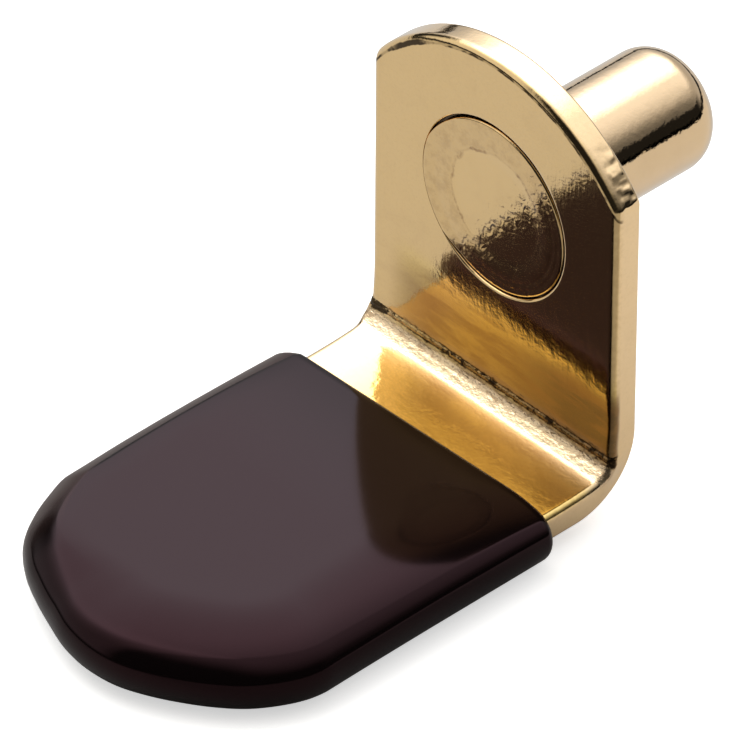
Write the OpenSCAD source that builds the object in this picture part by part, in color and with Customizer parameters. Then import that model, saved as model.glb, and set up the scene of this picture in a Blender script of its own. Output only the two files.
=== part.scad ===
// Shelf support pin: an L-shaped bracket stamped from strip, a headed pin pressed
// through its upright plate, and a sleeve of dipped vinyl on the arm, which the shelf lies on.
// Frame: +Z up, +Y along the pin into the cabinet side, origin on the pin's axis at the
// back face of the upright plate. The arm runs towards -Y. All sizes in millimetres.

/* [Strip] */
// Width of the strip
strip_w = 13; // [11:0.5:15]
// Thickness of the strip
strip_t = 1.2; // [1:0.05:1.5]
// Radius of the die roll along the front and top edges
roll_r = 0.25; // [0.1:0.05:0.3]
// Radius of the broken edge on the back and underside
burr_r = 0.12; // [0.05:0.01:0.15]
// Radius where a straight side runs into an arched end
shoulder_r = 1; // [0.6:0.1:1.5]

/* [Upright plate] */
// Height of the arch's crown above the pin's axis
crown_h = 6.6; // [6:0.1:8]
// Radius of the arch
arch_r = 8.05; // [7.8:0.05:10]

/* [Bend] */
// Radius inside the bend
bend_in_r = 1.25; // [0.8:0.05:1.6]
// Radius outside the bend, where pressing has thinned the metal
bend_out_r = 3; // [2.4:0.1:3.2]

/* [Arm] */
// Drop from the pin's axis to the arm's top face
arm_drop = 9.1; // [8:0.1:11]
// Reach of the bare arm from the back face to its tip
arm_reach = 21; // [19:0.5:24]
// Radius of the arm's round tip
tip_r = 6.8; // [6.8:0.1:10]

/* [Pin] */
// Diameter of the shank, for a 5 mm hole
shank_d = 5; // [4.8:0.1:5.2]
// Length of the shank behind the plate
shank_l = 8.4; // [6:0.1:12]
// Radius of the shank's rounded end
shank_end_r = 1.4; // [0.4:0.1:1.8]
// Diameter of the head that is pressed flush into the plate
head_d = 7.3; // [7:0.1:8]
// Thickness of the head
head_t = 0.65; // [0.5:0.05:0.8]
// Radius of the head's rim
head_rim_r = 0.1; // [0.05:0.01:0.15]
// Diameter of the seat under the head, which fills the punched hole
seat_d = 5.6; // [5.4:0.1:6]
// Depth of the head's face below the plate
head_sink = 0.05; // [0.02:0.01:0.1]
// Width of the groove between the head and the plate
groove_w = 0.16; // [0.1:0.02:0.2]
// Depth of the groove
groove_deep = 0.3; // [0.2:0.05:0.4]
// Diameter of the shallow dish in the head's face
dish_d = 5.4; // [4:0.1:6]
// Depth of the dish
dish_deep = 0.1; // [0.05:0.01:0.15]

/* [Sleeve] */
// Thickness of the coat above and below the arm
coat_face = 0.7; // [0.5:0.05:1]
// Thickness of the coat along the arm's sides and round its tip
coat_side = 0.8; // [0.5:0.05:1]
// How far the coat's edge is rounded, as a share of half its height
coat_round = 0.94; // [0.6:0.02:0.98]
// Distance from the plate's back face to the line where the coat ends
dip_line = 4.8; // [4.2:0.1:6]
// Thickness of the coat's lip at that line
lip_t = 0.12; // [0.06:0.02:0.2]

/* [Hidden] */
$fn = 96;

half_w = strip_w / 2;
arm_top = -arm_drop;
arm_under = arm_top - strip_t;
arch_z = crown_h - arch_r;
tip_y = -arm_reach + tip_r;
head_face = -strip_t + head_sink;
head_under = -strip_t + head_t;
dish_r = (pow(dish_d / 2, 2) + pow(dish_deep, 2)) / (2 * dish_deep);
coat_half_w = half_w + coat_side;
coat_h = strip_t + 2 * coat_face;
coat_edge_r = coat_round * coat_h / 2;
over = 1;      // how far a cutter runs past the surface that it cuts
reach = 40;    // longer than any side of the part

// Distance from an arch's centre to the line where its shoulders begin
function shoulder_rise(r, half, small) = sqrt(pow(r - small, 2) - pow(half - small, 2));

// What lies outside a quarter circle of radius r, in the corner at the origin.
// The metal is left of the corner and below it.
module corner_waste(r) {
    difference() {
        translate([-r, -r]) square(r + over);
        translate([-r, -r]) circle(r);
    }
}

// Everything left of and above a corner that is rounded to radius r
module quarter_plane(r) {
    difference() {
        translate([-reach, 0]) square(reach);
        mirror([0, 1]) corner_waste(r);
    }
}

// Outline with straight sides and an arched end of radius r round the origin. Small
// circles of radius small turn the sides into the arch.
module arched_outline(r, half, small) {
    rise = shoulder_rise(r, half, small);
    centre = [half - small, rise];
    far = half + over;
    difference() {
        union() {
            translate([-half, -reach]) square([2 * half, reach]);
            intersection() {
                circle(r);
                translate([-half, -over]) square([2 * half, r + 2 * over]);
            }
        }
        for (side = [0, 1]) mirror([side, 0]) difference() {
            polygon([centre, [far, rise], [far, rise * far / centre[0]]]);
            translate(centre) circle(small);
        }
    }
}

// Cutter that rounds the rim of an arched end to radius edge_r. The rim's face lies in
// the plane z = 0 with the metal below it.
module arch_waste(r, edge_r) {
    rotate_extrude(angle = 180) translate([r, 0]) corner_waste(edge_r);
}

// Stands a drawing up: its Y becomes Z and its face looks towards -Y
module stand_up() {
    rotate([90, 0, 0]) children();
}

// Lays a drawing down along the arm: its Y becomes -Y and its face looks up
module lay_down() {
    mirror([0, 1, 0]) children();
}

// Extrudes a drawing of Y and Z along X, centred on the strip
module across(w) {
    translate([-w / 2, 0, 0]) rotate([90, 0, 90]) linear_extrude(w) children();
}

// Turns a profile of radius and X through the bend's quarter circle about (y, z)
module round_bend(y, z) {
    translate([0, y, z]) mirror([0, 0, 1]) rotate([90, 0, 90])
        rotate_extrude(angle = 90) children();
}

// The strip bent to an L, with square edges
module bent_strip() {
    intersection() {
        across(strip_w) difference() {
            translate([0, arm_under]) quarter_plane(bend_out_r);
            translate([-strip_t, arm_top]) quarter_plane(bend_in_r);
        }
        translate([0, reach, arch_z]) stand_up() linear_extrude(2 * reach)
            arched_outline(arch_r, half_w, shoulder_r);
        translate([0, tip_y, -reach]) lay_down() linear_extrude(2 * reach)
            arched_outline(tip_r, half_w, shoulder_r);
    }
}

// Cutters for the two long edges of the strip, on the upright face at face_y and the arm
// face at face_z, which bend_r joins. flip is 1 on the faces outside the bend.
module long_edge_waste(face_y, face_z, bend_r, edge_r, flip) {
    bend_y = face_y - bend_r;
    bend_z = face_z + bend_r;
    for (side = [0, 1]) mirror([side, 0, 0]) {
        translate([half_w, face_y, bend_z]) mirror([0, 1 - flip, 0]) linear_extrude(reach)
            corner_waste(edge_r);
        round_bend(bend_y, bend_z) translate([bend_r, half_w]) mirror([1 - flip, 0])
            corner_waste(edge_r);
        translate([half_w, bend_y, face_z]) mirror([0, 0, flip]) rotate([90, 0, 0])
            linear_extrude(reach) corner_waste(edge_r);
    }
}

// The bent strip with die roll on the faces inside the bend and a broken edge outside it
module stamped_strip() {
    difference() {
        bent_strip();
        long_edge_waste(-strip_t, arm_top, bend_in_r, roll_r, 0);
        long_edge_waste(0, arm_under, bend_out_r, burr_r, 1);
        translate([0, -strip_t, arch_z]) stand_up() arch_waste(arch_r, roll_r);
        translate([0, 0, arch_z]) mirror([0, 1, 0]) stand_up() arch_waste(arch_r, burr_r);
        translate([0, tip_y, arm_top]) lay_down() arch_waste(tip_r, roll_r);
        translate([0, tip_y, arm_under]) mirror([0, 0, 1]) lay_down()
            arch_waste(tip_r, burr_r);
    }
}

// The punched hole, the pocket that the head is pressed into, and the groove round it
module pin_hole() {
    stand_up() {
        translate([0, 0, -over]) cylinder(d = seat_d, h = strip_t + 2 * over);
        translate([0, 0, -head_under]) cylinder(d = head_d, h = head_t + over);
        translate([0, 0, strip_t - groove_deep])
            cylinder(d = head_d + 2 * groove_w, h = groove_deep + over);
    }
}

module bracket() {
    color("goldenrod") difference() {
        stamped_strip();
        pin_hole();
    }
}

// One turned profile: dished head, seat, and shank with a rounded end
module pin() {
    color("gold") rotate([-90, 0, 0]) rotate_extrude() difference() {
        union() {
            translate([0, head_face]) square([head_d / 2, head_under - head_face]);
            translate([0, head_face]) square([seat_d / 2, -head_face]);
            translate([0, head_face]) square([shank_d / 2, shank_l - head_face]);
        }
        translate([shank_d / 2, shank_l]) corner_waste(shank_end_r);
        translate([head_d / 2, head_face]) mirror([0, 1]) corner_waste(head_rim_r);
        translate([0, head_face + dish_deep - dish_r]) circle(dish_r);
        translate([-reach, -reach]) square([reach, 2 * reach]);
    }
}

// The coat's outside: a thicker arched plate with full round rims
module coat_blank() {
    r = tip_r + coat_side;
    translate([0, tip_y, arm_top + coat_face]) lay_down() difference() {
        translate([0, 0, -coat_h]) linear_extrude(coat_h)
            arched_outline(r, coat_half_w, shoulder_r + coat_side);
        for (under = [0, 1]) translate([0, 0, -under * coat_h]) mirror([0, 0, under]) {
            arch_waste(r, coat_edge_r);
            for (side = [0, 1]) mirror([side, 0, 0]) translate([coat_half_w, reach, 0])
                rotate([90, 0, 0]) linear_extrude(2 * reach) corner_waste(coat_edge_r);
        }
    }
}

// Everything behind the dip line, and what thins the coat to its lip there
module lip_waste() {
    translate([-reach, -dip_line, -reach]) cube([2 * reach, reach, 2 * reach]);
    for (side = [0, 1]) {
        translate([0, -dip_line, arm_top - strip_t / 2]) mirror([0, 0, side])
            translate([0, 0, coat_h / 2]) across(2 * reach) corner_waste(coat_face - lip_t);
        mirror([side, 0, 0]) translate([coat_half_w, -dip_line, -reach])
            linear_extrude(reach) corner_waste(coat_side - lip_t);
    }
}

module vinyl_sleeve() {
    color("#3a1d1a") difference() {
        coat_blank();
        lip_waste();
        stamped_strip();
    }
}

bracket();
pin();
vinyl_sleeve();
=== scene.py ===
import math

import bmesh
import bpy
import numpy as np
from mathutils import Matrix, Vector


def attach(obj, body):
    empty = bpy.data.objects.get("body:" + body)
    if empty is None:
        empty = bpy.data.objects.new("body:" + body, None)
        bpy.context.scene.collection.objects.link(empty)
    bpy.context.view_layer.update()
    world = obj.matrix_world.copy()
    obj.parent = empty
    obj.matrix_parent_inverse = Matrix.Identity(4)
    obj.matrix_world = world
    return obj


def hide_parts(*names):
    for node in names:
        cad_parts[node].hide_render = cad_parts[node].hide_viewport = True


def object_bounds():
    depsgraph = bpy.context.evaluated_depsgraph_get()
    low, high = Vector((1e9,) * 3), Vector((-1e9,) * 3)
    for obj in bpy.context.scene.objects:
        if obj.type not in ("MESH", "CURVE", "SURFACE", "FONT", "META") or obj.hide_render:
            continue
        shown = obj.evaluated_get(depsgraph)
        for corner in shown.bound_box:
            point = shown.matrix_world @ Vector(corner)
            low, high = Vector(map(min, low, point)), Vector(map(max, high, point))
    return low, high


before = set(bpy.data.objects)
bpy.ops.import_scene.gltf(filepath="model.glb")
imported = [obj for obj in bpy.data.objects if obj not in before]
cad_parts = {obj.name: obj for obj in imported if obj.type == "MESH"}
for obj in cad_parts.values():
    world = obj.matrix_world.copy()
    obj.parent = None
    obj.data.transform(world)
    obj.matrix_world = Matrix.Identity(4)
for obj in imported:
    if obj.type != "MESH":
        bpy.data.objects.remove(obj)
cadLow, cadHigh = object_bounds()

# Shelf support pin in a small studio: a folded strip with brass plating, a headed pin
# pressed into it, and a sleeve of dipped vinyl on the arm. Lengths are in metres.
mm = 0.001
scene = bpy.context.scene
print("frame loaded:", sorted(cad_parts))


# A method of a wire that adds a Math node for itself and what it is given
def mathMethod(operation, reflected=False):
    def added(wire, *others):
        terms = (wire, *others)
        return wire.desk.math(operation, *(terms[::-1] if reflected else terms))
    return added


class Wire:
    # One output socket. Arithmetic on it adds Math nodes to its tree.
    def __init__(self, desk, socket):
        self.desk = desk
        self.socket = socket

    __add__ = mathMethod("ADD")
    __radd__ = mathMethod("ADD", True)
    __sub__ = mathMethod("SUBTRACT")
    __rsub__ = mathMethod("SUBTRACT", True)
    __mul__ = mathMethod("MULTIPLY")
    __rmul__ = mathMethod("MULTIPLY", True)
    __truediv__ = mathMethod("DIVIDE")
    atLeast = mathMethod("MAXIMUM")
    atMost = mathMethod("MINIMUM")
    size = mathMethod("ABSOLUTE")
    sine = mathMethod("SINE")
    cosine = mathMethod("COSINE")

    # 0 up to low, 1 from high on, and a smooth step between them
    def rise(self, low, high):
        return self.desk.out("ShaderNodeMapRange", {"interpolation_type": "SMOOTHSTEP"},
                             {0: self, 1: low, 2: high, 3: 0.0, 4: 1.0})

    # 1 within reach of centre, fading to 0 over fade
    def near(self, centre, reach, fade):
        return 1 - (self - centre).size().rise(reach, reach + fade)


class Desk:
    # A node tree to build on
    def __init__(self, tree):
        self.tree = tree

    def node(self, kind, settings=None, sockets=None):
        made = self.tree.nodes.new(kind)
        for name, value in (settings or {}).items():
            if name == "points":
                self.setPoints(made.mapping, value)
            else:
                setattr(made, name, value)
        for key, value in (sockets or {}).items():
            if isinstance(value, Wire):
                self.tree.links.new(value.socket, made.inputs[key])
            else:
                made.inputs[key].default_value = value
        return made

    def setPoints(self, mapping, places):
        mapping.use_clip = False
        points = mapping.curves[0].points
        while len(points) < len(places):
            points.new(1.0, 1.0)
        for point, place in zip(points, places):
            point.location = place
            point.handle_type = "AUTO_CLAMPED"
        mapping.update()

    def out(self, kind, settings=None, sockets=None, output=0):
        return Wire(self, self.node(kind, settings, sockets).outputs[output])

    def math(self, operation, *terms):
        return self.out("ShaderNodeMath", {"operation": operation}, dict(enumerate(terms)))

    def mixColours(self, share, first, second):
        return self.out("ShaderNodeMix", {"data_type": "RGBA"},
                        {0: share, 6: first, 7: second}, 2)

    # First colour, then each (share, colour) laid over it in turn
    def layColours(self, first, layers):
        for share, colour in layers:
            first = self.mixColours(share, first, colour)
        return first

    # Distance from a middle in a plane of two coordinates
    def away(self, across, along, middle=(0, 0)):
        across = across - middle[0]
        along = along - middle[1]
        return self.math("SQRT", across * across + along * along)

    def split(self, vector):
        parts = self.node("ShaderNodeSeparateXYZ", None, {0: vector})
        return [Wire(self, socket) for socket in parts.outputs]

    def join(self, x, y, z):
        return self.out("ShaderNodeCombineXYZ", None, {0: x, 1: y, 2: z})

    def noise(self, place, scale, detail=2.0, roughness=0.5, distortion=0.0):
        return self.out("ShaderNodeTexNoise", {"noise_dimensions": "3D"},
                        {"Vector": place, "Scale": scale, "Detail": detail,
                         "Roughness": roughness, "Distortion": distortion})

    # A noise as a mask: its scale, detail, roughness and distortion, then from none to all
    def mask(self, place, pattern):
        *values, low, high = pattern
        return self.noise(place, *values).rise(low, high)


def addObject(name, data):
    made = bpy.data.objects.new(name, data)
    scene.collection.objects.link(made)
    return made


class Shell:
    # Patches of quads, each a grid of points, that are welded into one closed mesh
    def __init__(self):
        self.points = []
        self.faces = []

    def patch(self, grid, closed=False):
        grid = np.asarray(grid, float)
        rows, columns = grid.shape[:2]
        start = len(self.points)
        self.points.extend(grid.reshape(-1, 3).tolist())
        last = columns if closed else columns - 1
        for row in range(rows - 1):
            for column in range(last):
                beside = (column + 1) % columns
                near = start + row * columns
                far = near + columns
                self.faces.append((near + column, near + beside, far + beside, far + column))

    def build(self, name, sharpAngle):
        mesh = bpy.data.meshes.new(name)
        mesh.from_pydata(self.points, [], self.faces)
        form = bmesh.new()
        form.from_mesh(mesh)
        bmesh.ops.remove_doubles(form, verts=form.verts, dist=weldDistance)
        bmesh.ops.dissolve_degenerate(form, edges=form.edges, dist=weldDistance)
        bmesh.ops.recalc_face_normals(form, faces=form.faces)
        form.to_mesh(mesh)
        form.free()
        mesh.shade_smooth()
        mesh.set_sharp_from_angle(angle=math.radians(sharpAngle))
        return addObject(name, mesh)


weldDistance = 0.00002 * mm


# Evenly spaced numbers from first to last, about step apart, crowded towards first by crowd
def spread(first, last, step, crowd=1.0):
    count = max(2, int(round(abs(last - first) / step)) + 1)
    return first + (last - first) * np.linspace(0, 1, count) ** crowd


# 0 up to 0, 1 from 1 on, and a smooth step between them
def eased(share):
    share = np.clip(share, 0, 1)
    return share * share * (3 - 2 * share)


# Runs a node tree on an object and keeps the result as its plain mesh
def bakeTree(piece, tree, values):
    modifier = piece.modifiers.new(tree.name, "NODES")
    modifier.node_group = tree
    for item in tree.interface.items_tree:
        if item.item_type == "SOCKET" and item.in_out == "INPUT" and item.name in values:
            modifier[item.identifier] = values[item.name]
    bpy.context.view_layer.update()
    evaluated = piece.evaluated_get(bpy.context.evaluated_depsgraph_get())
    mesh = bpy.data.meshes.new_from_object(evaluated)
    piece.modifiers.remove(modifier)
    piece.data = mesh
    mesh.name = piece.name


# A new node tree with named inputs, its desk, and the inputs' wires by name
def newTree(name, inputs):
    tree = bpy.data.node_groups.new(name, "GeometryNodeTree")
    tree.interface.new_socket("Geometry", in_out="INPUT", socket_type="NodeSocketGeometry")
    for inputName, value in inputs.items():
        kind = "NodeSocketFloat" if isinstance(value, float) else "NodeSocketMaterial"
        socket = tree.interface.new_socket(inputName, in_out="INPUT", socket_type=kind)
        socket.default_value = value
    tree.interface.new_socket("Geometry", in_out="OUTPUT", socket_type="NodeSocketGeometry")
    desk = Desk(tree)
    source = desk.node("NodeGroupInput")
    wires = {socket.name: Wire(desk, socket) for socket in source.outputs if socket.name}
    return tree, desk, wires


# Closes a tree: realised, with the piece's material, to the group's output
def closeTree(desk, geometry, material):
    real = desk.out("GeometryNodeRealizeInstances", None, {0: geometry})
    dressed = desk.out("GeometryNodeSetMaterial", None, {"Geometry": real, "Material": material})
    desk.node("NodeGroupOutput", None, {0: dressed})


cameraSettings = {
    "azimuth": 46.834,
    "elevation": 39.177,
    "roll": 0.380,
    "distance": 505.11 * mm,
    "focalPixels": 13783.4,
    "framePixels": (732, 730),
    "originPixel": (516.741, 190.700),
    "sensorWidth": 36.0,
}


def makeCamera(given):
    azimuth, elevation, roll = [math.radians(given[turn])
                                for turn in ("azimuth", "elevation", "roll")]
    across = Vector((math.cos(azimuth), math.sin(azimuth), 0))
    back = Vector((math.sin(azimuth) * math.cos(elevation),
                   -math.cos(azimuth) * math.cos(elevation), math.sin(elevation)))
    upward = back.cross(across)
    right = math.cos(roll) * across + math.sin(roll) * upward
    top = -math.sin(roll) * across + math.cos(roll) * upward
    width, height = given["framePixels"]
    aside = (given["originPixel"][0] - width / 2) / given["focalPixels"] * given["distance"]
    above = (height / 2 - given["originPixel"][1]) / given["focalPixels"] * given["distance"]
    data = bpy.data.cameras.new("camera")
    data.sensor_width = given["sensorWidth"]
    data.lens = given["focalPixels"] / width * given["sensorWidth"]
    data.clip_start = 1 * mm
    data.clip_end = 5
    made = addObject("camera", data)
    place = -aside * right - above * top + given["distance"] * back
    turn = Matrix((right, top, back)).transposed().to_4x4()
    made.matrix_world = Matrix.Translation(place) @ turn
    scene.camera = made


makeCamera(cameraSettings)
print("camera set")


strip = {
    "halfWidth": 6.5 * mm,
    "thickness": 1.2 * mm,
    "dieRoll": 0.32 * mm,
    "brokenEdge": 0.12 * mm,
    "shoulder": 1.0 * mm,
    "archRadius": 8.05 * mm,
    "crown": 6.598 * mm,
    "armTop": -9.1 * mm,
    "reach": 21.0 * mm,
    "tipRadius": 6.8 * mm,
    "insideBend": 1.25 * mm,
    "outsideBend": 3.0 * mm,
    "bendLength": 2.7 * mm,  # how much of the flat blank goes into the bend
    # the pressed inside of the bend: distance from the plate, and height over the arm
    "bendSection": ((0, 1.25), (0, 0.97), (-0.035, 0.935), (0.015, 0.87), (0.045, 0.745),
                    (0.03, 0.69), (0.06, 0.65), (0.14, 0.51), (0.24, 0.37), (0.36, 0.28),
                    (0.48, 0.195), (0.60, 0.12), (0.70, 0.082), (0.85, 0.048), (1.03, 0.021),
                    (1.25, 0)),
    "creases": (2, 5),  # which of these points are creases
    "creaseStray": 0.30,  # how far they stray, in lengths of the bend
    "creaseNoise": (1000, 5.0, 0.80),  # scale per metre, detail and its roughness
    "springRise": 0.055 * mm,  # how far the faces bow in beside the bend, and over what length
    "springReach": 1.5 * mm,
    "waveHeight": 0.024 * mm,  # how wavy the die and the punch leave the faces
    "slowWaves": (260, 1.0),  # scale per metre and detail, and the same of the quicker ones
    "quickWaves": (900, 2.0, 0.6),
    "quickShare": 0.22,
    "bendGrain": 0.010 * mm,  # how rough the inside of the bend is drawn
    "grainNoise": (4200, 3.0, 0.6),
    "tornEdge": 0.16 * mm,  # how ragged the cut edge is at the torn shoulder, and where
    "tornAcross": (4.6 * mm, 5.4 * mm),
    "tornAlong": (3.0 * mm, 3.3 * mm),
    "tornScale": 3700.0,
    # along the bend, in shares of its length: middle, half length and fading
    "creased": (0.24, 0.14, 0.12),
    "drawnRough": (0.38, 0.26, 0.08),
    "squeezed": (0.42, 0.05, 0.35),
    # through the sheet from its front face: where waves, roughness and bulges end, and the tear
    "wavesEnd": (0.2, 0.8),
    "roughEnd": (0.1, 0.4),
    "bulgeEnd": (0.0, 0.9),
    "tornDepth": (0.62, 0.2, 0.12),
    "cornerBulge": 0.12 * mm,  # how far the bend's corners are squeezed out, and how far in
    "bulgeReach": 1.2 * mm,
    "rightShoulder": 0.4 * mm,
    "sectionFade": 3.0 * mm,  # how far past the bend the sections still lean
    "plateRow": -4.6 * mm,  # where the rings round the head give way to plain rows
    "grain": 0.1 * mm,  # spacing of the mesh
    "rowGrain": (0.09 * mm, 0.032 * mm, 0.07 * mm),  # before, in and behind the creases
    "creasedShare": 0.45,  # of the bend's length
    "hiddenFrom": 4.0 * mm,  # past the bend, where the sleeve hides the arm
    "hiddenGrain": 0.7 * mm,
    "tipGrain": 0.25 * mm,
    "edgeRows": (9, 14, 5),  # of points round the front edge, down the side and round the back
    # rings between the hole and the outline: their numbers, and how far out they lie
    "rings": ((0, 4, 20, 23), (0, 0.12, 0.94, 1)),
}
headFit = {
    "drop": 0.15 * mm,  # how far the head sits below the shank's axis
    "shift": (0.0, -0.045 * mm),  # how far the head sits off its hole's centre
    "grooveRadius": 3.75 * mm,
    "grooveDepth": 0.3 * mm,
    # round the head, by angle from the right towards the top, in degrees and mm: how far the
    # hole's wall stands out, the rounding of its edge, and where the head closes the gap
    "wallTurns": ((0, -0.02), (60, 0.02), (90, 0.04), (135, 0.0), (205, 0.0), (250, 0.01),
                  (290, 0.0)),
    "lipTurns": ((0, 0.15), (55, 0.16), (82, 0.08), (130, 0.07), (160, 0.01), (224, 0.01),
                 (246, 0.10), (320, 0.10)),
    "closedTurns": ((0, 0.0), (132, 0.0), (158, 1.0), (224, 1.0), (240, 0.0)),
    "headRadius": 3.65 * mm,
    "pocketDepth": 0.65 * mm,
    "seatRadius": 2.8 * mm,
}


# Half of an arched outline as (x, s, outward x, outward s), from the straight side's foot
# to the crown on the axis. s runs towards the crown.
def halfOutline(half, arch, centre, small, foot, step):
    rise = math.sqrt((arch - small) ** 2 - (half - small) ** 2)
    turn = math.atan2(rise, half - small)
    points = [(half, s, 1.0, 0.0) for s in spread(foot, centre + rise, step)[:-1]]
    for angle in spread(0, turn, step / small)[:-1]:
        points.append((half - small + small * math.cos(angle),
                       centre + rise + small * math.sin(angle), math.cos(angle), math.sin(angle)))
    for angle in spread(turn, math.pi / 2, step / arch):
        points.append((arch * math.cos(angle), centre + arch * math.sin(angle),
                       math.cos(angle), math.sin(angle)))
    return np.array(points)


# Two halves as one outline from right foot to left foot. The left half is given mirrored.
def wholeOutline(right, mirrored=None):
    left = (right if mirrored is None else mirrored)[-2::-1] * np.array([-1, 1, -1, 1])
    return np.concatenate([right, left])


# Shares of the bend's length at the points of its inside section
def sectionShares(given):
    steps = np.linalg.norm(np.diff(np.array(given["bendSection"]), axis=0), axis=1)
    return np.concatenate([[0], np.cumsum(steps)]) / steps.sum()


# How far a crease strays along the strip at a place of the flat blank
def creaseWander(desk, given, place, turned):
    stray = desk.noise(place, *given["creaseNoise"]) - 0.5
    return stray * given["creaseStray"] * turned.near(*given["creased"])


# Points (inset, depth) of the strip's edge from the front face round to the back face
def edgeProfile(given):
    roll, burr, depth = given["dieRoll"], given["brokenEdge"], given["thickness"]
    front, side, back = given["edgeRows"]
    points = []
    for angle in np.linspace(0, math.pi / 2, front):
        points.append((roll * (1 - math.sin(angle)), roll * (1 - math.cos(angle))))
    for down in np.linspace(roll, depth - burr, side)[1:-1]:
        points.append((0, down))
    for angle in np.linspace(0, math.pi / 2, back):
        points.append((burr * (1 - math.cos(angle)), depth - burr * (1 - math.sin(angle))))
    return np.array(points)


# A value round the head, from its table of turns
def roundHead(table, degrees):
    places, values = np.array(table).T
    return np.interp(degrees, places, values, period=360)


# Rows (radii, depths) of the hole from the plate's front face to its back face, at the angles
def holeProfile(given, fit, degrees):
    lip = roundHead(fit["lipTurns"], degrees) * mm
    wall = fit["grooveRadius"] + roundHead(fit["wallTurns"], degrees) * mm
    rows = [(wall + lip * (1 - math.sin(angle)), lip * (1 - math.cos(angle)))
            for angle in np.linspace(0, math.pi / 2, 6)]
    rows.append((wall, np.full_like(wall, fit["grooveDepth"])))
    for radius, depth in ((fit["headRadius"], fit["grooveDepth"]),
                          (fit["headRadius"], fit["pocketDepth"]),
                          (fit["seatRadius"], fit["pocketDepth"]),
                          (fit["seatRadius"], given["thickness"])):
        rows.append((np.full_like(wall, radius), np.full_like(wall, depth)))
    return rows


# The blank lies flat: x across, y along the strip, z = -depth below its front face
def makeBlank(given, fit):
    shell = Shell()
    depth = given["thickness"]
    foot = given["plateRow"]
    centre = given["crown"] - given["archRadius"]
    right, left = [halfOutline(given["halfWidth"], given["archRadius"], centre, shoulder, foot,
                               given["grain"])
                   for shoulder in (given["rightShoulder"], given["shoulder"])]
    outline = wholeOutline(right, left)
    edge = edgeProfile(given)

    def rim(inset):
        return outline[:, :2] - outline[:, 2:] * inset

    # the plate, as rings round the head's hole: the last ring follows the outline and a row
    innerHalf = given["halfWidth"] - given["dieRoll"]
    acrossRow = spread(-innerHalf, innerHalf, given["grain"])[1:-1]
    hub = np.array([0, -fit["drop"]])

    def ringPlan(inset):
        halfRow = given["halfWidth"] - inset
        row = np.stack([acrossRow / innerHalf * halfRow, np.full(len(acrossRow), foot)], 1)
        return np.concatenate([rim(inset), row])

    outer = ringPlan(edge[0, 0])
    aim = (outer - hub) / np.linalg.norm(outer - hub, axis=1)[:, None]
    shares = np.interp(np.arange(given["rings"][0][-1] + 1), *given["rings"])

    def rings(radius, plan, z):
        start = hub + aim * radius[:, None]
        flat = start + (plan - start) * shares[:, None, None]
        return np.concatenate([flat, np.full(flat.shape[:2] + (1,), z)], 2)

    hole = holeProfile(given, fit, np.degrees(np.arctan2(aim[:, 1], aim[:, 0])))
    shell.patch(rings(hole[0][0], outer, 0), closed=True)
    shell.patch(rings(hole[-1][0], ringPlan(edge[-1, 0]), -depth), closed=True)
    shell.patch([np.column_stack([hub + aim * radius[:, None], -down]) for radius, down in hole],
                closed=True)
    shell.patch([np.column_stack([rim(inset), np.full(len(outline), -down)])
                 for inset, down in edge])

    # the rest, as closed loops round the strip: front face, right edge, back face, left edge
    bendStart = given["armTop"] + given["insideBend"]
    bendEnd = bendStart - given["bendLength"]
    tipCentre = (bendEnd - given["reach"] + given["tipRadius"] + given["thickness"]
                 + given["insideBend"])
    tip = halfOutline(given["halfWidth"], given["tipRadius"], 0, given["shoulder"], 0,
                      given["tipGrain"])
    tipStart = tipCentre - tip[0, 1]
    creaseEnd = bendStart - given["creasedShare"] * given["bendLength"]
    hiddenStart = bendEnd - given["hiddenFrom"]
    places = [foot, bendStart, creaseEnd, bendEnd, hiddenStart, tipStart]
    steps = [*given["rowGrain"], given["grain"], given["hiddenGrain"]]
    rows = [(foot, given["halfWidth"])]
    for first, last, step in zip(places, places[1:], steps):
        rows += [(s, given["halfWidth"]) for s in spread(first, last, step)[1:]]
    rows += [(tipCentre - s, half) for half, s in tip[1:-1, :2]]
    loops = []
    frontRow = np.concatenate([[-innerHalf], acrossRow, [innerHalf]]) / innerHalf
    for s, half in rows:
        squeeze = min(1.0, half / (2 * given["dieRoll"]))
        front = [(x * (half - edge[0, 0] * squeeze), s, 0) for x in frontRow]
        right = [(half - inset * squeeze, s, -down) for inset, down in edge[1:-1]]
        back = [(x * (half - edge[-1, 0] * squeeze), s, -depth) for x in frontRow[::-1]]
        left = [(-x, y, z) for x, y, z in right[::-1]]
        loops.append(front + right + back + left)
    shell.patch(loops, closed=True)
    last = np.array(loops[-1])
    middle = np.zeros_like(last) + np.array([0, tipCentre - given["tipRadius"] + 0.01 * mm, 0])
    middle[:, 2] = last[:, 2]
    shell.patch([last, middle], closed=True)
    return shell.build("foldedStrip", 50)


# The fold's inputs are its material and these sizes
def foldInputs(strip, material):
    sizes = ("armTop", "insideBend", "outsideBend", "thickness", "bendLength", "sectionFade",
             "halfWidth", "waveHeight", "bendGrain", "tornEdge", "tornScale", "cornerBulge",
             "bulgeReach", "springRise", "springReach")
    return {"material": material, **{name: strip[name] for name in sizes}}


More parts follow.
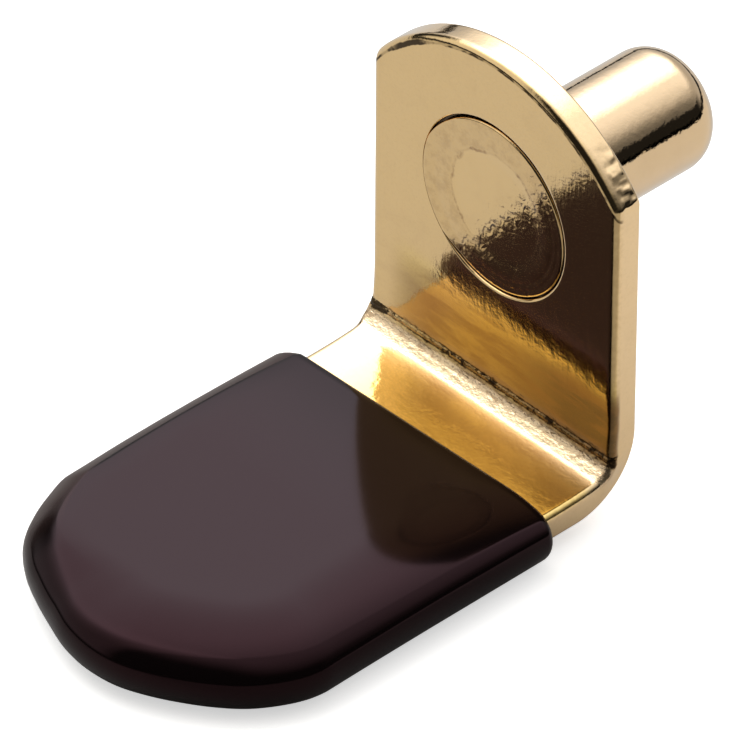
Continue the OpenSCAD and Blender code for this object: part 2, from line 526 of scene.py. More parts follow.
# Folds the blank: its front face follows the pressed section inside the bend, its back face
# an arc outside it, and every section runs straight between them, so the metal thins there
def foldTree(strip, inputs):
    tree, desk, given = newTree("fold strip", inputs)
    place = desk.out("GeometryNodeInputPosition")
    normal = desk.out("GeometryNodeInputNormal")
    kept = desk.out("GeometryNodeStoreNamedAttribute",
                    {"data_type": "FLOAT_VECTOR", "domain": "POINT"},
                    {"Geometry": given["Geometry"], "Name": "flatPlace", "Value": place})
    x, s, height = desk.split(place)
    armTop, inside, outside = given["armTop"], given["insideBend"], given["outsideBend"]
    thickness, bendLength = given["thickness"], given["bendLength"]
    bendStart = armTop + inside
    share = 0 - height / thickness
    turned = ((bendStart - s) / bendLength).atLeast(0).atMost(1)

    # the die and the punch leave the sheet slightly wavy
    slow, quick = [desk.noise(place, *strip[kind]) - 0.5 for kind in ("slowWaves", "quickWaves")]
    aside = (s - bendStart).atLeast(0) + (bendStart - bendLength - s).atLeast(0)
    near = (1 - aside / given["springReach"]).atLeast(0)
    wave = (slow + quick * strip["quickShare"]) * given["waveHeight"]
    wave = (wave + near * near * given["springRise"]) * (1 - share.rise(*strip["wavesEnd"]))

    # the surface inside the bend is drawn rough
    inBend = turned.near(*strip["drawnRough"]) * (1 - share.rise(*strip["roughEnd"]))
    grain = (desk.noise(place, *strip["grainNoise"]) - 0.5) * given["bendGrain"] * inBend

    # the sheared edge is torn near one shoulder, on the half of it that the die didn't polish
    across, along, facing = desk.split(normal)
    onEdge = 1 - facing.size().rise(0.2, 0.5)
    shoulderPatch = x.rise(*strip["tornAcross"]) * s.rise(*strip["tornAlong"])
    torn = onEdge * shoulderPatch * share.near(*strip["tornDepth"])
    cells = desk.out("ShaderNodeTexVoronoi", {"feature": "F1", "distance": "CHEBYCHEV"},
                     {"Vector": desk.join(x, s, height * 0.35), "Scale": given["tornScale"],
                      "Randomness": 1.0})
    tear = (cells - 0.45) * given["tornEdge"] * torn

    # the corners of the bend are squeezed outwards
    squeezed = turned.near(*strip["squeezed"]) * (1 - share.rise(*strip["bulgeEnd"]))
    bulge = squeezed * x.size().rise(given["halfWidth"] - given["bulgeReach"], given["halfWidth"])
    side = desk.math("SIGN", x)

    newX = x + side * bulge * given["cornerBulge"] + across * tear
    newS = s + along * tear
    newShare = share - (wave + grain) / thickness

    newTurned = ((bendStart - newS) / bendLength).atLeast(0).atMost(1)
    angle = newTurned * (math.pi / 2)
    strayed = newTurned + creaseWander(desk, strip, place, newTurned)
    shares = sectionShares(strip)
    inward, upward = [desk.out("ShaderNodeFloatCurve", {"points": list(zip(shares, values))},
                               {"Value": strayed}) * mm
                      for values in zip(*strip["bendSection"])]
    above = (newS - bendStart).atLeast(0)
    beyond = (bendStart - bendLength - newS).atLeast(0)
    lean = outside - thickness - inside
    insideY = 0 - thickness - inward - beyond
    insideZ = armTop + upward + above
    outsideY = (outside * (angle.cosine() - 1) - beyond
                + lean * (beyond / given["sectionFade"]).atMost(1))
    outsideZ = (bendStart + lean - outside * angle.sine() + above
                - lean * (above / given["sectionFade"]).atMost(1))
    folded = desk.join(newX, insideY + (outsideY - insideY) * newShare,
                       insideZ + (outsideZ - insideZ) * newShare)
    moved = desk.out("GeometryNodeSetPosition", None, {"Geometry": kept, "Position": folded})
    closeTree(desk, moved, given["material"])
    return tree


pin = {
    "shankRadius": 2.5 * mm,
    "shankEnd": 8.4 * mm,
    "endRadius": 1.4 * mm,
    "headFace": -1.15 * mm,
    "headUnder": -0.55 * mm,
    "rimRadius": 0.1 * mm,
    "dishRadius": 2.75 * mm,
    "dishDepth": 0.035 * mm,
    "dishWall": 0.75 * mm,
    "dishShift": (0.1 * mm, -0.1 * mm),
    # turning marks near the rim as radius, width and height, and where they are strongest
    "turnMarks": ((3.10 * mm, 0.07 * mm, 0.008 * mm), (3.36 * mm, 0.05 * mm, 0.006 * mm)),
    "marksTowards": (0.8, -0.6),
    # where the head closes its gap: the width that is spread, how soon it is so in full, how
    # far it stands up, and the hair's breadth that stays open
    "spreadWidth": 0.5 * mm,
    "spreadRamp": 0.4 * mm,
    "spreadRise": 0.04 * mm,
    "hairGap": 0.005 * mm,
    "faceGrain": 0.05 * mm,
    "shankGrain": 0.5 * mm,
    "endGrain": 0.1 * mm,
    "sides": 288,
}


# Points (radius, y) from the centre of the head's face to the centre of the shank's end
def pinProfile(given, fit):
    face, under, rim = given["headFace"], given["headUnder"], given["rimRadius"]
    head, shank, end = fit["headRadius"], given["shankRadius"], given["endRadius"]
    points = [(radius, face) for radius in spread(0, head - rim, given["faceGrain"])]
    points += [(head - rim + rim * math.sin(angle), face + rim * (1 - math.cos(angle)))
               for angle in np.linspace(0, math.pi / 2, 6)[1:]]
    points += [(head, under), (fit["seatRadius"], under), (fit["seatRadius"], 0)]
    points += [(shank, y) for y in spread(0, given["shankEnd"] - end, given["shankGrain"])]
    points += [(shank - end + end * math.cos(angle),
                given["shankEnd"] - end + end * math.sin(angle))
               for angle in np.linspace(0, math.pi / 2, 20)[1:]]
    points += [(radius, given["shankEnd"])
               for radius in spread(shank - end, 0, given["endGrain"])[1:]]
    return np.array(points)


# How far a point of the head's face is off its plane, by its shallow dish and turning marks
def faceRelief(given, x, z):
    dishX, dishZ = given["dishShift"]
    inward = (given["dishRadius"] - math.hypot(x - dishX, z - dishZ)) / given["dishWall"]
    relief = given["dishDepth"] * eased(inward)
    radius = math.hypot(x, z) + 1e-9
    facing = 0.5 + 0.5 * (given["marksTowards"][0] * x + given["marksTowards"][1] * z) / radius
    for place, width, height in given["turnMarks"]:
        relief += height * facing * facing * math.exp(-((radius - place) / width) ** 2)
    return relief


def makePin(given, fit):
    shell = Shell()
    turns = np.linspace(0, 2 * math.pi, given["sides"], endpoint=False)
    radius, y = pinProfile(given, fit).T[:, :, None]
    x = radius * np.cos(turns)
    z = radius * np.sin(turns)
    shell.patch(np.stack([x, np.broadcast_to(y, x.shape), z], 2), closed=True)
    made = shell.build("headedPin", 40)
    face = given["headFace"]
    touch = 0.01 * mm  # looser than the mesh's rounding, finer than its rows
    flush = fit["grooveRadius"] - fit["headRadius"] - given["hairGap"]
    spreadFrom = fit["headRadius"] - given["spreadWidth"]
    for vertex in made.data.vertices:
        x, y, z = vertex.co
        level = y
        if y < face + touch:
            level += faceRelief(given, x, z)
        # on one side the head is spread flush with the plate and closes its gap
        away = math.hypot(x, z)
        if away > spreadFrom and y < given["headUnder"] - 0.1 * touch:
            closed = float(roundHead(fit["closedTurns"], math.degrees(math.atan2(z, x))))
            spreading = closed * min(1, (away - spreadFrom) / given["spreadRamp"])
            if y < face + given["rimRadius"] + 0.1 * touch:
                level += (face - y) * closed - given["spreadRise"] * spreading
            x, z = [value * (1 + flush * spreading / away) for value in (x, z)]
        # the head's centre is a little off the shank's axis
        share = min(1, max(0, -y / fit["pocketDepth"]))
        vertex.co = (x + fit["shift"][0] * share, level,
                     z + (fit["shift"][1] - fit["drop"]) * share)
    return made


sleeve = {
    "foot": -11.0 * mm,
    "halfWidth": 7.3 * mm,
    "noseRadius": 7.6 * mm,
    "noseCentre": -14.2 * mm,
    "shoulder": 1.8 * mm,
    "rightShoulder": 4.0 * mm,
    # arcs of the rim from its foot to its top, as the slope each ends at in degrees, its
    # radius in mm and its steps
    "sideRim": ((18, 1.40, 14), (49, 0.80, 14), (68, 1.3, 9), (90, 7.6, 9)),
    "leftRim": ((18, 1.40, 14), (42, 1.14, 10), (60, 3.0, 8), (68, 1.6, 4), (85, 0.25, 7),
                (90, 10.0, 3)),
    "noseRim": ((18, 1.28, 14), (49, 1.20, 14), (68, 1.5, 9), (90, 6.9, 9)),
    "top": -8.03 * mm,
    "crownAt": -11.5 * mm,  # where the top is highest, and how far it falls by the dip line
    "crownFall": 0.42 * mm,
    "dipLine": -4.8 * mm,
    "dipSlant": 0.03,  # how much further the dip runs on one side, per width
    "lip": 0.12 * mm,
    "lipRun": 0.5 * mm,  # length over which the coat thickens behind its lip
    "coat": 0.8 * mm,
    # how far the hanging coat stands off the nose's plain curve, by angle from its middle
    "sag": ((-110, 0.0), (-95, -0.03), (-80, -0.10), (-68, -0.14), (-57, -0.04), (-48, 0.05),
            (-38, -0.04), (-28, -0.19), (-18, -0.23), (-8, -0.11), (2, -0.03), (12, -0.02),
            (22, -0.11), (32, -0.16), (42, -0.12), (52, -0.03), (62, 0.0), (95, 0.0)),
    "pocketMiddle": -9.7 * mm,
    "pocketHalfHeight": 0.595 * mm,
    "pocketRound": 0.25 * mm,
    "leftFade": 6 * mm,  # how the left rim comes in with the distance from the axis
    "noseFade": (4 * mm, 9 * mm),  # and the nose's: how far behind its centre, over what length
    "slantRun": 4 * mm,
    "grain": 0.12 * mm,
}


# Right half of the plain plan from the dip line to the nose as (x, y, outward x, outward y)
def sleevePlan(given, shoulder):
    width, centre, grain = given["halfWidth"], given["noseCentre"], given["grain"]
    half = halfOutline(width, given["noseRadius"], 0, shoulder, 0, grain)
    rise = math.sqrt((given["noseRadius"] - shoulder) ** 2 - (width - shoulder) ** 2)
    curved = half[half[:, 1] > rise - 1e-9]
    side = [(width, y, 1.0, 0.0) for y in spread(given["dipLine"], centre - rise, grain, 1.35)[:-1]]
    nose = curved * np.array([1, -1, 1, -1]) + np.array([0, centre, 0, 0])
    return np.concatenate([np.array(side), nose])


# Smooth curve through (place, value) pairs
def through(pairs, places):
    knots, values = np.array(pairs, float).T
    slopes = np.gradient(values, knots)
    span = np.clip(np.searchsorted(knots, places) - 1, 0, len(knots) - 2)
    width = knots[span + 1] - knots[span]
    t = np.clip((places - knots[span]) / width, 0, 1)
    return (values[span] + (values[span + 1] - values[span]) * eased(t)
            + (t ** 3 - 2 * t ** 2 + t) * width * slopes[span]
            + (t ** 3 - t ** 2) * width * slopes[span + 1])


# Points (inset, height) of the rim from its top down to its foot, brought to the full height
def rimProfile(given, arcs):
    slopes = [-math.pi / 2]
    sizes = []
    for end, radius, steps in arcs:
        slopes += np.linspace(slopes[-1], math.radians(end), steps + 1)[1:].tolist()
        sizes += [radius * mm] * steps
    slopes, sizes = np.array(slopes), np.array(sizes)
    inset = np.concatenate([[0], np.cumsum(-sizes * np.diff(np.cos(slopes)))])
    up = np.concatenate([[0], np.cumsum(sizes * np.diff(np.sin(slopes)))])
    low = np.searchsorted(slopes, 0)
    middle = up[low]
    whole = given["top"] - given["foot"]
    up[low:] = middle + (up[low:] - middle) * (whole - middle) / (up[-1] - middle)
    return np.stack([inset - inset.min(), up + given["foot"]], 1)[::-1]


def makeSleeve(given):
    shell = Shell()
    plan = wholeOutline(sleevePlan(given, given["rightShoulder"]),
                        sleevePlan(given, given["shoulder"]))
    lean = np.degrees(np.arctan2(plan[:, 0], given["noseCentre"] - plan[:, 1]))
    sag = through(given["sag"], lean) * mm
    plan[:, :2] += plan[:, 2:] * sag[:, None]
    plan[:, 0] = np.clip(plan[:, 0], -given["halfWidth"], given["halfWidth"])
    spine = np.stack([np.zeros(len(plan)), np.maximum(plan[:, 1], given["noseCentre"])], 1)
    inward = spine - plan[:, :2]
    room = np.linalg.norm(inward, axis=1)[:, None]
    inward = inward / room
    sideRim, leftRim, noseRim = [rimProfile(given, given[side])
                                 for side in ("sideRim", "leftRim", "noseRim")]
    leftShare = eased(-plan[:, 0] / given["leftFade"])[:, None]
    behind, run = given["noseFade"]
    noseShare = eased((given["noseCentre"] + behind - plan[:, 1]) / run)[:, None]
    inner = np.linspace(0, 1, 15)[:-1]

    # Rows of points from the spine over the rim to the spine again
    def skinRows(rim):
        rows = []
        for share in inner:
            rows.append((room + (rim[0][:, :1] - room) * share, rim[0][:, 1:]))
        rows += [(row[:, :1], row[:, 1:]) for row in rim]
        for share in inner[::-1]:
            rows.append((room + (rim[-1][:, :1] - room) * share, rim[-1][:, 1:]))
        return np.array([np.concatenate([plan[:, :2] + inward * inset, height], 1)
                         for inset, height in rows])

    rims = []
    for sidePoint, leftPoint, nosePoint in zip(sideRim, leftRim, noseRim):
        point = sidePoint + (nosePoint - sidePoint) * noseShare
        rims.append(point + (leftPoint - point) * leftShare)
    outside = skinRows(rims)
    pocketRims = []
    reach = given["pocketRound"]
    for angle in np.linspace(math.pi / 2, -math.pi / 2, len(rims)):
        height = (given["pocketMiddle"] + reach * math.sin(angle)
                  + (given["pocketHalfHeight"] - reach) * max(-1, min(1, 3 * angle / math.pi)))
        inset = given["coat"] + reach * (1 - math.cos(angle)) + sag
        pocketRims.append(np.stack([inset, np.full(len(plan), height)], 1))
    pocket = skinRows(pocketRims)
    run = np.clip((given["dipLine"] - plan[:, 1]) / given["lipRun"], 0, 1)
    lipShare = given["lip"] / given["coat"]
    thick = lipShare + (1 - lipShare) * np.sqrt(1 - (1 - run) ** 2)
    skin = pocket + (outside - pocket) * thick[None, :, None]
    crown, middle = given["crownAt"], given["pocketMiddle"]
    fall = np.clip((skin[..., 1] - crown) / (given["dipLine"] - crown), 0, 1)
    high = np.clip((skin[..., 2] - middle) / (given["top"] - middle), 0, 1)
    skin[..., 2] -= given["crownFall"] * fall ** 2 * high ** 2 * thick[None, :]
    shell.patch(skin)
    shell.patch(pocket)
    for end in (0, len(plan) - 1):
        rounds = []
        for angle in np.linspace(0, math.pi, 7):
            share = (1 + math.cos(angle)) / 2
            row = pocket[:, end] + (skin[:, end] - pocket[:, end]) * share
            row[:, 1] += given["lip"] / 2 * math.sin(angle)
            rounds.append(row)
        shell.patch(rounds)
    made = shell.build("dippedSleeve", 60)
    for vertex in made.data.vertices:
        share = eased(1 - (given["dipLine"] - vertex.co.y) / given["slantRun"])
        vertex.co.y += given["dipSlant"] * vertex.co.x * share
    return made


platedLook = {
    "tint": (0.93, 0.645, 0.29, 1),
    "deep": (0.93, 0.655, 0.22, 1),  # yellower beside the bend: a painted reflection colour that deepens the gold the plate and arm reflect of each other
    "pale": (0.97, 0.69, 0.37, 1),  # on cut edges: paler plating, a painted highlight colour so that their highlights show cream
    # the pin's shank, paler than the strip and the head: a painted highlight colour so that its
    # highlights show cream
    "pin": (0.85, 0.61, 0.35, 1),
    "brown": (0.34, 0.18, 0.06, 1),
    # near black: painted shade in the creases, the groove and gap round the head, along the arch
    # and in the bend's corner, with some dirt
    "shadeAndDirt": (0.030, 0.018, 0.010, 1),
    "drawn": (0.90, 0.69, 0.45, 1),  # paler and creamier: a painted highlight colour on the bend's lower part, where it is drawn rough, and at the arm's left end
    "roughness": 0.07,
    # unevenness of the plating as scale per metre, detail, its roughness, distortion, height
    "peel": (2300, 2.0, 0.5, 0.4, 0.006 * mm),
    "grit": (8200, 2.0, 0.6, 0.0, 0.0022 * mm),
    "wrinkles": (3000, 1.5, 0.5, 0.6, 0.012 * mm),
    "dimples": (1500, 3.0, 0.6, 0.0, 0.012 * mm),
    "rows": (3800, 3.0, 0.6, 0.0, 0.004 * mm),  # rolling marks along the strip
    "dents": (2600, 3.0, 0.6, 0.0, 0.05 * mm),
    "pocks": (6500, 2.0, 0.5, 0.0, 0.012 * mm),
    "coatRoughness": 0.06,
    "coatIor": 1.45,
}
stripWear = {
    # heights below the front face, from none to all
    "front": (-0.4 * mm, -0.2 * mm),
    "cutDepth": (0.15 * mm, 0.3 * mm),
    "grooveTop": (0.06 * mm, 0.14 * mm),
    "grooveFoot": (0.8 * mm, 0.9 * mm),
    # along the strip from the arm's top: middle, half length and fading
    "deep": (0.0, 3.5 * mm, 1.5 * mm),
    # corner: browner and darker on the plate just above the bend: painted shade
    "corner": (1.9 * mm, 1.0 * mm, 1.4 * mm),
    "streaks": (0.0, 3.2 * mm, 1.4 * mm),
    # across the strip, from none to all
    "deepFrom": (-5.6 * mm, -4.2 * mm),
    "cornerFrom": (-5.8 * mm, -4.2 * mm),
    "rightFrom": (-1.0 * mm, 4.5 * mm),
    "streaksFrom": (-4.8 * mm, -3.0 * mm),
    "paleTo": (-4.8 * mm, -2.8 * mm),
    "endsFrom": (5.0 * mm, 6.3 * mm),
    # in shares of the bend's inside section: middle, half length and fading
    "drawn": (0.5, 0.17, 0.04),
    "pressed": (0.26, 0.09, 0.03),
    "stains": (0.36, 0.14, 0.16),
    "above": (0.02, 0.10, 0.08),
    # the next two: where the bend's band of paler plating, a painted highlight, comes in and goes
    # again
    "highlightBandFrom": (0.30, 0.42),
    "highlightBandTo": (0.62, 1.20),
    "creaseWidth": (0.022, 0.028),
    # a hair of painted shade in from the arch, along its rolled edge, where it is wider, and by how
    # much
    "archLine": (0.27 * mm, 0.02 * mm, 0.05 * mm),
    "archWide": (-4.6 * mm, 0.5 * mm, 0.8 * mm),
    "archWidth": 0.06 * mm,
    "archFrom": (1.0 * mm, 2.0 * mm),
    "archStray": 0.12 * mm,
    # in from the strip's sides
    "cutFace": (0.04 * mm, 0.01 * mm),
    "rolled": (0.0, 0.12 * mm, 0.2 * mm),
    # noise masks: scale per metre, detail, its roughness, distortion, and from none to all
    "creaseGaps": (2300, 3.0, 0.7, 0.0, 0.44, 0.54),
    "creaseBreaks": (1100, 3.0, 0.7, 0.0, 0.45, 0.65),
    "archGaps": (1300, 2.0, 0.6, 0.0, 0.40, 0.56),
    "blotch": (650, 3.0, 0.6, 0.8, 0.45, 0.85),
    "streakNoise": (1300, 3.0, 0.6, 0.3, 0.42, 0.60),
    "stainNoise": (1900, 4.0, 0.7, 0.5, 0.50, 0.62),
    "specks": (7500, 2.0, 0.6, 0.0, 0.45, 0.70),
    "scuffs": (5200, 1.0, 0.5, 0.0, 0.4, 0.6),
}


def newMaterial(name):
    material = bpy.data.materials.new(name)
    material.use_nodes = True
    material.node_tree.nodes.clear()
    return material, Desk(material.node_tree)


# Height of one kind of unevenness at a place
def relief(desk, place, kind, offset=0.0):
    *pattern, height = kind
    return (desk.noise(place, *pattern) - offset) * height


def platedShader(desk, look, place, colour, roughness, height, lacquer=1.0):
    height = relief(desk, place, look["peel"]) + relief(desk, place, look["grit"]) + height
    normal = desk.out("ShaderNodeBump", None, {"Strength": 1.0, "Distance": 1.0, "Height": height})
    shader = desk.out("ShaderNodeBsdfPrincipled", None, {
        "Base Color": colour, "Metallic": 1.0, "Roughness": roughness, "Normal": normal,
        "Coat Weight": lacquer, "Coat Roughness": look["coatRoughness"],
        "Coat IOR": look["coatIor"]})
    desk.node("ShaderNodeOutputMaterial", None, {"Surface": shader})


# Painted shade, with some dirt, on the strip: dark in the creases and the pits beside them,
# in the groove round the head and as a hair along the arch's rolled edge
def stripShadeAndDirt(desk, given, wear, flat, strayed, front):
    x, s, height = desk.split(flat)
    down = 0 - height
    gaps = 0.25 + 0.75 * desk.mask(flat, wear["creaseGaps"])
    broken = desk.mask(flat, wear["creaseBreaks"])
    width, fade = wear["creaseWidth"]
    shares = sectionShares(given)
    creases = 0
    for place in given["creases"]:
        creases = (strayed.near(shares[place], broken * width, fade) * gaps).atLeast(creases)
    ends = x.size().rise(*wear["endsFrom"])
    pits = ((desk.noise(flat, 1600, 4.0, 0.7) + ends * 0.09).rise(0.545, 0.575)
            * strayed.near(0.225, 0.06 + ends * 0.05, 0.03))
    hub = desk.away(x, s, (0, -headFit["drop"]))
    edge = headFit["grooveRadius"] + 0.01 * mm
    groove = (1 - hub.rise(edge, edge + 0.04 * mm)) * down.rise(*wear["grooveTop"])
    groove = groove * (1 - down.rise(*wear["grooveFoot"]))
    inside = given["archRadius"] - desk.away(x, s, (0, given["crown"] - given["archRadius"]))
    inside = inside + (desk.noise(flat, 1500, 3.0, 0.7) - 0.5) * wear["archStray"]
    wide = x.near(*wear["archWide"])
    line, reach, fade = wear["archLine"]
    archLine = inside.near(line, reach + wide * wear["archWidth"], fade) * s.rise(*wear["archFrom"])
    archLine = archLine * (0.35 + 0.65 * desk.mask(flat, wear["archGaps"])).atLeast(wide)
    return (creases.atLeast(pits) * front).atLeast(groove).atLeast(archLine * front)


# Strip: rolling marks follow its length, the bend is drawn rough and stained; its colour also holds
# painted shade and painted highlights
def platedStrip(name, given, wear, look):
    material, desk = newMaterial(name)
    flat = desk.out("ShaderNodeAttribute", {"attribute_name": "flatPlace"}, None, "Vector")
    x, s, height = desk.split(flat)
    front = height.rise(*wear["front"])
    bendStart = given["armTop"] + given["insideBend"]
    turned = (bendStart - s) / given["bendLength"]
    strayed = turned + creaseWander(desk, given, flat, turned)
    onArm = 1 - s.rise(bendStart - 3.0 * mm, bendStart - 1.0 * mm)

    # A stretch along the strip's front
    def stretch(kind):
        middle, reach, fade = wear[kind]
        return s.near(given["armTop"] + middle, reach, fade) * front

    # the yellower plating beside the bend is a painted reflection colour
    deep = stretch("deep") * x.rise(*wear["deepFrom"])
    # the cut edges get the paler plating: a painted highlight colour
    cut = (x.size().rise(*(given["halfWidth"] - inset for inset in wear["cutFace"]))
           + s.rise(1.5 * mm, 2.0 * mm) * (0 - height).rise(*wear["cutDepth"])).atMost(1)
    right = x.rise(*wear["rightFrom"])
    # browner and near black above the bend's inside corner, more so at the right: painted shade
    corner = stretch("corner") * (0.68 * x.rise(*wear["cornerFrom"]) + 0.32 * right)
    streaked = stretch("streaks") * (0.12 + 0.88 * x.rise(*wear["streaksFrom"]))
    streaks = desk.mask(desk.join(x * 0.2 + s * 0.05, s, height), wear["streakNoise"])
    # the arm's left end and the bend's band below the creases get the paler plating: a painted
    # highlight colour, so that the highlights there show cream
    paleHighlightEnd = (1 - x.rise(*wear["paleTo"])) * onArm * front
    highlightBand = (1 - strayed.rise(*wear["highlightBandTo"])) * strayed.rise(*wear["highlightBandFrom"]) * front
    rolled = (x.size() - given["halfWidth"]).near(*wear["rolled"]) * front
    blotch, stain, specks, scuffs = [desk.mask(flat, wear[kind])
                                     for kind in ("blotch", "stainNoise", "specks", "scuffs")]
    stains = stain * strayed.near(*wear["stains"]) * front
    # painted shade, with some dirt: creases, pits, the groove round the head and the arch's rolled
    # edge
    shadeAndDirtMask = stripShadeAndDirt(desk, given, wear, flat, strayed, front)
    colour = desk.layColours(look["tint"], (
        (deep, look["deep"]),
        (cut, look["pale"]),
        (corner * 0.85 + blotch * 0.08, look["brown"]),
        (corner * right * 0.55, look["shadeAndDirt"]),
        (streaks * streaked * (0.62 - 0.54 * onArm), look["brown"]),
        (paleHighlightEnd * 0.2, look["drawn"]),
        (highlightBand * 0.75, look["drawn"]),
        (stains * 0.45, look["brown"]),
        (specks * (0.06 + deep * (1 - onArm) * 0.12), look["brown"]),
        (rolled * scuffs * 0.15, look["brown"]),
        (shadeAndDirtMask * 0.95, look["shadeAndDirt"])))

    drawn, pressed = [strayed.near(*wear[kind]) * front for kind in ("drawn", "pressed")]
    *pattern, rowHeight = look["rows"]
    rows = desk.noise(desk.join(x, s * 0.12, height), *pattern)
    roughness = (look["roughness"] + rows * 0.04 + drawn * 0.10 + pressed * 0.18
                 + turned.near(*wear["above"]) * front * 0.10 + rolled * 0.1)
    dents = relief(desk, flat, look["dents"], 0.5) + relief(desk, flat, look["pocks"], 0.5)
    platedShader(desk, look, flat, colour, roughness,
                 rows * rowHeight + (drawn + pressed).atMost(1) * dents,
                 (1 - 0.65 * streaked) * (1 - shadeAndDirtMask))
    return material


pinWear = {
    "shankFrom": (-0.9 * mm, -0.5 * mm),  # where along the axis the head's looks end
    # out from the dish's radius: the worn ring, and its dark line's middle, reach and fading
    "ringFrom": (-0.5 * mm, -0.2 * mm),
    "ringLine": (-0.38 * mm, 0.03 * mm, 0.08 * mm),
    "ringStray": 0.7 * mm,
    "rimDepth": (0.08 * mm, 0.16 * mm),  # how far below its face the head's side is painted dark: painted shade in the gap round the head, with some dirt
    "blotch": (700, 3.0, 0.6, 0.0, 0.45, 0.85),
    "worn": (1700, 4.0, 0.7, 0.0, 0.42, 0.66),
}


# Pin: a polished shank, and a head that is wrinkled inside its worn ring
def platedPin(name, given, wear, look):
    material, desk = newMaterial(name)
    place = desk.out("ShaderNodeTexCoord", None, None, "Object")
    x, y, z = desk.split(place)
    onHead = 1 - y.rise(*wear["shankFrom"])
    blotch, worn = [desk.mask(place, wear[kind]) for kind in ("blotch", "worn")]
    ring = desk.away(x, z, given["dishShift"])
    ring = ring + (desk.noise(place, 900, 3.0, 0.7) - 0.5) * wear["ringStray"]
    dish = given["dishRadius"]
    line, reach, fade = wear["ringLine"]
    outer = ring.rise(*(dish + step for step in wear["ringFrom"])) * (0.12 + worn * 0.22)
    line = ring.near(dish + line, reach, fade) * 0.65 * (0.3 + worn)
    # the head's side, down in the plate's groove, is painted near black: painted shade
    down = y.rise(*(given["headFace"] + depth for depth in wear["rimDepth"]))
    # the shank gets the paler pin plating: a painted highlight colour
    colour = desk.layColours(desk.mixColours(onHead, look["pin"], look["tint"]), (
        (blotch * 0.12, look["brown"]),
        (outer.atLeast(line) * onHead, look["brown"]),
        (down * onHead * 0.95, look["shadeAndDirt"])))
    roughness = look["roughness"] - 0.03 + onHead * 0.03 + desk.noise(place, 2400, 2.0) * 0.04
    platedShader(desk, look, place, colour, roughness,
                 relief(desk, place, look["wrinkles"]) * onHead
                 + relief(desk, place, look["dimples"]) * (1 - onHead))
    return material


vinylLook = {
    "tint": (0.0032, 0.0019, 0.0019, 1),
    "shine": (1.0, 0.46, 0.52, 1),
    "roughness": 0.10,
    "specular": 0.20,
    "ripple": (420, 2.0, 0.5, 0.0, 0.002 * mm),
    "speckScale": 7000,
    "speckHeight": 0.0002 * mm,
    "dullRim": (0.030, 0.017, 0.014, 1),  # lighter brown and rougher on the coat's left rim
    "dullRimFrom": (6.10 * mm, 6.22 * mm),  # from the spine
    "dullRimTo": (-6.2 * mm, -4.2 * mm),  # and from the left
    "dullRimRoughness": 0.24,
}


def dippedVinyl(name, given, look):
    material, desk = newMaterial(name)
    place = desk.out("ShaderNodeTexCoord", None, None, "Object")
    x, y = desk.split(place)[:2]
    specks = desk.noise(place, look["speckScale"], 2.0, 0.6)
    normal = desk.out("ShaderNodeBump", None, {
        "Strength": 1.0, "Distance": 1.0,
        "Height": relief(desk, place, look["ripple"]) + specks * look["speckHeight"]})
    away = desk.away(x, (y - given["noseCentre"]).atMost(0))
    dullRim = away.rise(*look["dullRimFrom"]) * (1 - x.rise(*look["dullRimTo"]))
    shader = desk.out("ShaderNodeBsdfPrincipled", None, {
        "Base Color": desk.mixColours(dullRim, look["tint"], look["dullRim"]),
        "Roughness": (look["roughness"] + (specks - 0.5) * 0.03
                      + dullRim * look["dullRimRoughness"]),
        "Specular IOR Level": look["specular"], "Specular Tint": look["shine"],
        "Normal": normal})
    desk.node("ShaderNodeOutputMaterial", None, {"Surface": shader})
    return material


stripBrass = platedStrip("plated strip", strip, stripWear, platedLook)
pinBrass = platedPin("plated pin", pin, pinWear, platedLook)
sleeveVinyl = dippedVinyl("dipped vinyl", sleeve, vinylLook)

foldedStrip = makeBlank(strip, headFit)
folding = foldInputs(strip, stripBrass)
bakeTree(foldedStrip, foldTree(strip, folding), folding)
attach(foldedStrip, "root")
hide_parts("bracket")
print("strip folded:", len(foldedStrip.data.polygons), "faces")

headedPin = makePin(pin, headFit)
headedPin.data.materials.append(pinBrass)
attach(headedPin, "root")
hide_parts("pin")
print("pin turned:", len(headedPin.data.polygons), "faces")

dippedSleeve = makeSleeve(sleeve)
dippedSleeve.data.materials.append(sleeveVinyl)
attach(dippedSleeve, "root")
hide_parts("vinyl_sleeve")
print("sleeve dipped:", len(dippedSleeve.data.polygons), "faces")


studio = {
    "floorHalf": 1.0,
    "floorColour": (0.93, 0.90, 0.83, 1),
    "floorLift": 0.58,  # brings the sheet up to white, and leaves the shadow on it
    "sheetShare": 0.60,  # how bright a reflection shows the sheet
    "sheetBack": 0.70,  # the same at the part's right, behind it
    "sheetFront": 0.55,  # and in front of it, as a share of that: a painted shadow of the part, seen only in reflections
    "rightFrom": (0.0, 8.0 * mm),
    "backFrom": (-7.0 * mm, 1.0 * mm),
    "pool": (52 * mm, 95 * mm, 35 * mm),  # middle, reach and fading of the lit pool in depth
    "poolRight": (75 * mm, 110 * mm),
    "keyRight": (0.15, 1.10),  # where the large light fades to the right
    "keyFront": (-0.62, -0.05),  # to the front
    "keyFoot": (1, 4),  # and at its foot, in degrees
    "keyRise": (20, 42),  # from what height it is whole
    "keyLow": 0.42,  # and how strong it is below that, at the back
    "lowBack": (0.15, 0.45),
    "rightSide": (0.3, 0.7),  # at the right it stands higher
    "rightRise": (14.5, 17),
    "keyStrength": 1.22,
    "keyColour": (0.98, 1.0, 1.06, 1),
    "coreAxis": (-0.55, 0.33, 0.767),  # its brighter core
    "coreReach": (0.72, 0.94),
    "coreStrength": 1.8,
    "fillSide": (-0.766, -0.643),  # a weaker light low at the front left
    "fillReach": (0.75, 0.95),
    "fillRise": (1, 9),
    "fillStrength": 0.78,
    "ambient": 0.015,
}


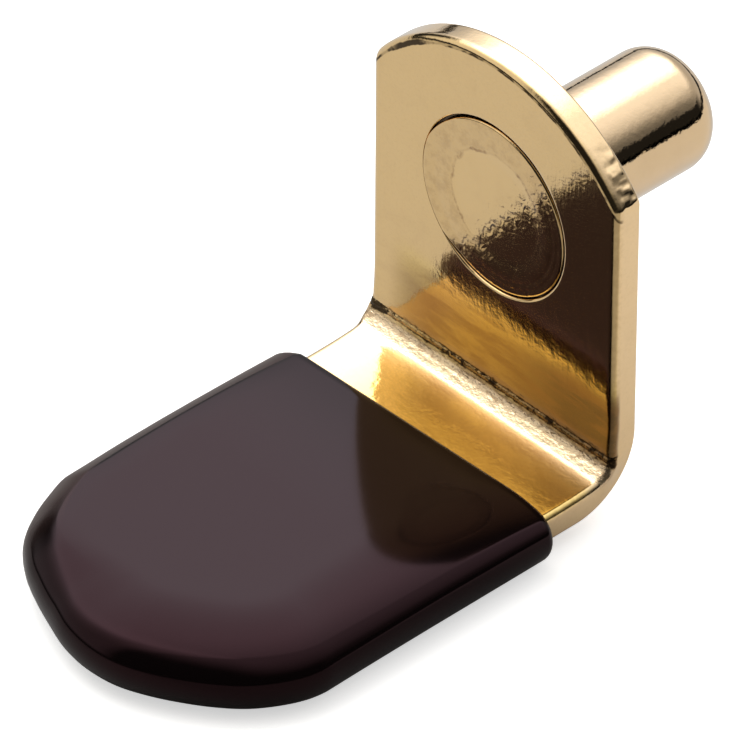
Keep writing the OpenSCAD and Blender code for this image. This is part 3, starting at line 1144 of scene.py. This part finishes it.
def makeFloor(given):
    half = given["floorHalf"]
    height = cadLow.z
    mesh = bpy.data.meshes.new("floor")
    mesh.from_pydata([(-half, -half, height), (half, -half, height), (half, half, height),
                      (-half, half, height)], [], [(0, 1, 2, 3)])
    made = addObject("floor", mesh)
    material, desk = newMaterial("pale floor")
    middle, reach, fade = given["pool"]
    x, y = desk.split(desk.out("ShaderNodeTexCoord", None, None, "Object"))[:2]
    beyond = ((y - middle).size() - reach).atLeast(0)
    pool = desk.math("EXPONENT", 0 - beyond / fade) * (1 - x.rise(*given["poolRight"]))
    right = x.rise(*given["rightFrom"])
    # darker in reflections in front of the part at its right: a painted shadow
    inFront = right * (1 - y.rise(*given["backFrom"]))
    share = given["sheetShare"] + (given["sheetBack"] - given["sheetShare"]) * right
    share = share * (1 - inFront * (1 - given["sheetFront"]))
    byCamera, byGloss = [desk.out("ShaderNodeLightPath", None, None, "Is " + kind + " Ray")
                         for kind in ("Camera", "Glossy")]
    colour = desk.mixColours(byGloss * (1 - pool * share), given["floorColour"], (0, 0, 0, 1))
    sheet = desk.out("ShaderNodeBsdfDiffuse", None, {"Color": colour})
    lift = desk.out("ShaderNodeEmission", None,
                    {"Color": (1, 1, 1, 1), "Strength": byCamera * given["floorLift"]})
    both = desk.out("ShaderNodeAddShader", None, {0: sheet, 1: lift})
    desk.node("ShaderNodeOutputMaterial", None, {"Surface": both})
    made.data.materials.append(material)


# A large light high at the back left and a weaker one at the front left, in a dark room. The
# camera sees white behind the part.
def makeWorld(given):
    world = bpy.data.worlds.new("studio")
    scene.world = world
    world.use_nodes = True
    world.node_tree.nodes.clear()
    desk = Desk(world.node_tree)
    x, y, z = desk.split(desk.out("ShaderNodeTexCoord", None, None, "Generated"))

    elevation = desk.math("ARCSINE", z) * (180 / math.pi)
    flat = desk.math("SQRT", (1 - z * z).atLeast(0.0001))
    low = given["keyLow"] * y.rise(*given["lowBack"])
    underRight = x.rise(*given["rightSide"]) * (1 - elevation.rise(*given["rightRise"]))
    coreX, coreY, coreZ = given["coreAxis"]
    core = (x * coreX + y * coreY + z * coreZ).rise(*given["coreReach"]) * given["coreStrength"]
    key = ((1 - x.rise(*given["keyRight"])) * y.rise(*given["keyFront"])
           * (low + (1 - low) * elevation.rise(*given["keyRise"]))
           * elevation.rise(*given["keyFoot"]) * (1 - underRight)
           * (given["keyStrength"] + core))
    toFill = (x * given["fillSide"][0] + y * given["fillSide"][1]) / flat
    fill = (toFill.rise(*given["fillReach"]) * elevation.rise(*given["fillRise"])
            * given["fillStrength"])
    level = key + fill + given["ambient"]
    white = (1, 1, 1, 1)
    warmth = desk.mixColours((key / given["keyStrength"]).atMost(1), white, given["keyColour"])
    byCamera = desk.out("ShaderNodeLightPath", None, None, "Is Camera Ray")
    strength = level * (1 - byCamera) + byCamera
    background = desk.out("ShaderNodeBackground", None, {
        "Color": desk.mixColours(byCamera, warmth, white), "Strength": strength})
    desk.node("ShaderNodeOutputWorld", None, {"Surface": background})


makeFloor(studio)
makeWorld(studio)
scene.view_settings.view_transform = "Standard"
print("studio lit")

print("box of the solids:", [round(v / mm, 2) for v in (*cadLow, *cadHigh)])
